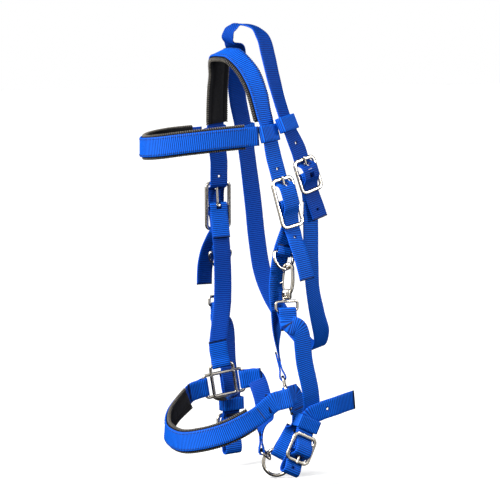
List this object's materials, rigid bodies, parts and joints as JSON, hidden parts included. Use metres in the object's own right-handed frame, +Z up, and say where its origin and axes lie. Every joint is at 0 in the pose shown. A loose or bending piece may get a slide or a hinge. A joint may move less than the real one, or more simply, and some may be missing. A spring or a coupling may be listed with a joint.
{
  "type": "head halter",
  "caption": "Horse halter-bridle in nylon webbing: padded crown, browband and noseband, throatlatch, cheek straps, lead ring and clip-on bit hangers.",
  "frame": {"origin": "middle of the flat underside of the crown pad, where it rests on the horse's poll", "axes": "+Z up, +X to the horse's near (left) side, -Y towards the nose; the harness hangs as it does on the head"},
  "size_m": [0.2295, 0.2608, 0.6013],
  "materials": {
    "blue_webbing": "ribbed nylon webbing",
    "black_padding": "matt black padding with overlocked edges",
    "bright_nickel": "bright nickel plate"
  },
  "bodies": {
    "harness": {"browband_pad": "black_padding", "browband_strap": "blue_webbing", "chin_link": "bright_nickel", "crown_pad": "black_padding", "crown_strap": "blue_webbing", "far_browband_front_loop": "blue_webbing", "far_browband_rear_loop": "blue_webbing", "far_cheek_strap": "blue_webbing", "far_chin_strap": "blue_webbing", "far_crown_buckle_frame": "bright_nickel", "far_dee_chape": "blue_webbing", "far_square": "bright_nickel", "near_browband_front_loop": "blue_webbing", "near_browband_rear_loop": "blue_webbing", "near_cheek_strap": "blue_webbing", "near_chin_strap": "blue_webbing", "near_crown_buckle_frame": "bright_nickel", "near_dee_chape": "blue_webbing", "near_square": "bright_nickel", "noseband_pad": "black_padding", "noseband_strap": "blue_webbing", "throat_buckle_frame": "bright_nickel", "throatlatch_strap": "blue_webbing"},
    "near_hanger": {"near_hanger_strap": "blue_webbing", "near_bit_loop": "blue_webbing", "near_hanger_buckle_frame": "bright_nickel"},
    "near_hanger_tongue": {"near_hanger_buckle_tongue": "bright_nickel"},
    "near_keeper": {"near_hanger_keeper": "blue_webbing"},
    "near_dee": {"near_dee_ring": "bright_nickel"},
    "near_snap": {"near_snap_body": "bright_nickel"},
    "near_gate": {"near_snap_gate": "bright_nickel"},
    "near_swivel": {"near_snap_eye": "bright_nickel"},
    "near_crown_tongue": {"near_crown_buckle_tongue": "bright_nickel"},
    "far_hanger": {"far_hanger_strap": "blue_webbing", "far_bit_loop": "blue_webbing", "far_hanger_buckle_frame": "bright_nickel"},
    "far_hanger_tongue": {"far_hanger_buckle_tongue": "bright_nickel"},
    "far_keeper": {"far_hanger_keeper": "blue_webbing"},
    "far_dee": {"far_dee_ring": "bright_nickel"},
    "far_snap": {"far_snap_body": "bright_nickel"},
    "far_gate": {"far_snap_gate": "bright_nickel"},
    "far_swivel": {"far_snap_eye": "bright_nickel"},
    "far_crown_tongue": {"far_crown_buckle_tongue": "bright_nickel"},
    "throat_tongue": {"throat_buckle_tongue": "bright_nickel"},
    "lead_ring": {"chin_ring": "bright_nickel"}
  },
  "joints": [
    {"name": "near_crown_tongue_hinge", "type": "hinge", "parent": "harness", "child": "near_crown_tongue", "pos_m": [0.09, 0.0396, -0.1855], "axis": [-0.1555, 0.972, 0.1759], "range_deg": [0, 6]},
    {"name": "far_crown_tongue_hinge", "type": "hinge", "parent": "harness", "child": "far_crown_tongue", "pos_m": [-0.09, 0.038, -0.2], "axis": [-0.0994, -0.9938, -0.0502], "range_deg": [0, 6]},
    {"name": "throat_tongue_hinge", "type": "hinge", "parent": "harness", "child": "throat_tongue", "pos_m": [0.086, 0.0727, -0.151], "axis": [-0.171, 0.9498, 0.262], "range_deg": [0, 6]},
    {"name": "near_dee_swing", "type": "hinge", "parent": "harness", "child": "near_dee", "pos_m": [0.09397, 0.03146, -0.25028], "axis": [-0.0936, 0.9658, -0.2417], "range_deg": [-6, 0]},
    {"name": "near_snap_swing", "type": "hinge", "parent": "near_dee", "child": "near_snap", "pos_m": [0.09903, 0.03544, -0.26944], "axis": [-0.0936, 0.9658, -0.2417], "range_deg": [-8, 0]},
    {"name": "near_gate_hinge", "type": "hinge", "parent": "near_snap", "child": "near_gate", "pos_m": [0.09407, 0.03172, -0.29724], "axis": [0.6, -0.8, 0], "range_deg": [-12, 0], "stiffness_Nm_per_rad": 0.03, "springref_deg": 14.32},
    {"name": "near_eye_swivel", "type": "hinge", "parent": "near_snap", "child": "near_swivel", "pos_m": [0.09727, 0.03412, -0.31214], "axis": [0, 0, 1], "range_deg": [-15, 15]},
    {"name": "near_hanger_swing", "type": "hinge", "parent": "near_swivel", "child": "near_hanger", "pos_m": [0.09727, 0.03412, -0.32414], "axis": [0.0499, 0.9988, 0], "range_deg": [-40, 0]},
    {"name": "near_hanger_tongue_hinge", "type": "hinge", "parent": "near_hanger", "child": "near_hanger_tongue", "pos_m": [0.108, 0.05, -0.503], "axis": [0, 0.9062, -0.4229], "range_deg": [-6, 0]},
    {"name": "near_keeper_slide", "type": "slide", "parent": "near_hanger", "child": "near_keeper", "axis": [0.0201, 0.4228, 0.906], "range_m": [-0.002, 0]},
    {"name": "far_dee_swing", "type": "hinge", "parent": "harness", "child": "far_dee", "pos_m": [-0.09048, 0.04194, -0.26206], "axis": [-0.0796, -0.9952, -0.0575], "range_deg": [-4, 0]},
    {"name": "far_snap_swing", "type": "hinge", "parent": "far_dee", "child": "far_snap", "pos_m": [-0.09698, 0.04659, -0.28137], "axis": [-0.0796, -0.9952, -0.0575], "range_deg": [-4, 0]},
    {"name": "far_gate_hinge", "type": "hinge", "parent": "far_snap", "child": "far_gate", "pos_m": [-0.10287, 0.04467, -0.30917], "axis": [0.3102, -0.9507, 0], "range_deg": [-12, 0], "stiffness_Nm_per_rad": 0.03, "springref_deg": 14.32},
    {"name": "far_eye_swivel", "type": "hinge", "parent": "far_snap", "child": "far_swivel", "pos_m": [-0.09907, 0.04591, -0.32407], "axis": [0, 0, 1], "range_deg": [-15, 15]},
    {"name": "far_hanger_swing", "type": "hinge", "parent": "far_swivel", "child": "far_hanger", "pos_m": [-0.09907, 0.04591, -0.33607], "axis": [-0.0499, -0.9988, 0], "range_deg": [-40, 0]},
    {"name": "far_hanger_tongue_hinge", "type": "hinge", "parent": "far_hanger", "child": "far_hanger_tongue", "pos_m": [-0.103, 0.0625, -0.504], "axis": [0, -0.9988, -0.0499], "range_deg": [-6, 0]},
    {"name": "far_keeper_slide", "type": "slide", "parent": "far_hanger", "child": "far_keeper", "axis": [0, -0.0499, 0.9988], "range_m": [-0.002, 0]},
    {"name": "lead_ring_swing", "type": "hinge", "parent": "harness", "child": "lead_ring", "pos_m": [0.01411, 0.07812, -0.52205], "axis": [-0.4415, -0.7646, 0.4695], "range_deg": [-20, 20]}
  ]
}
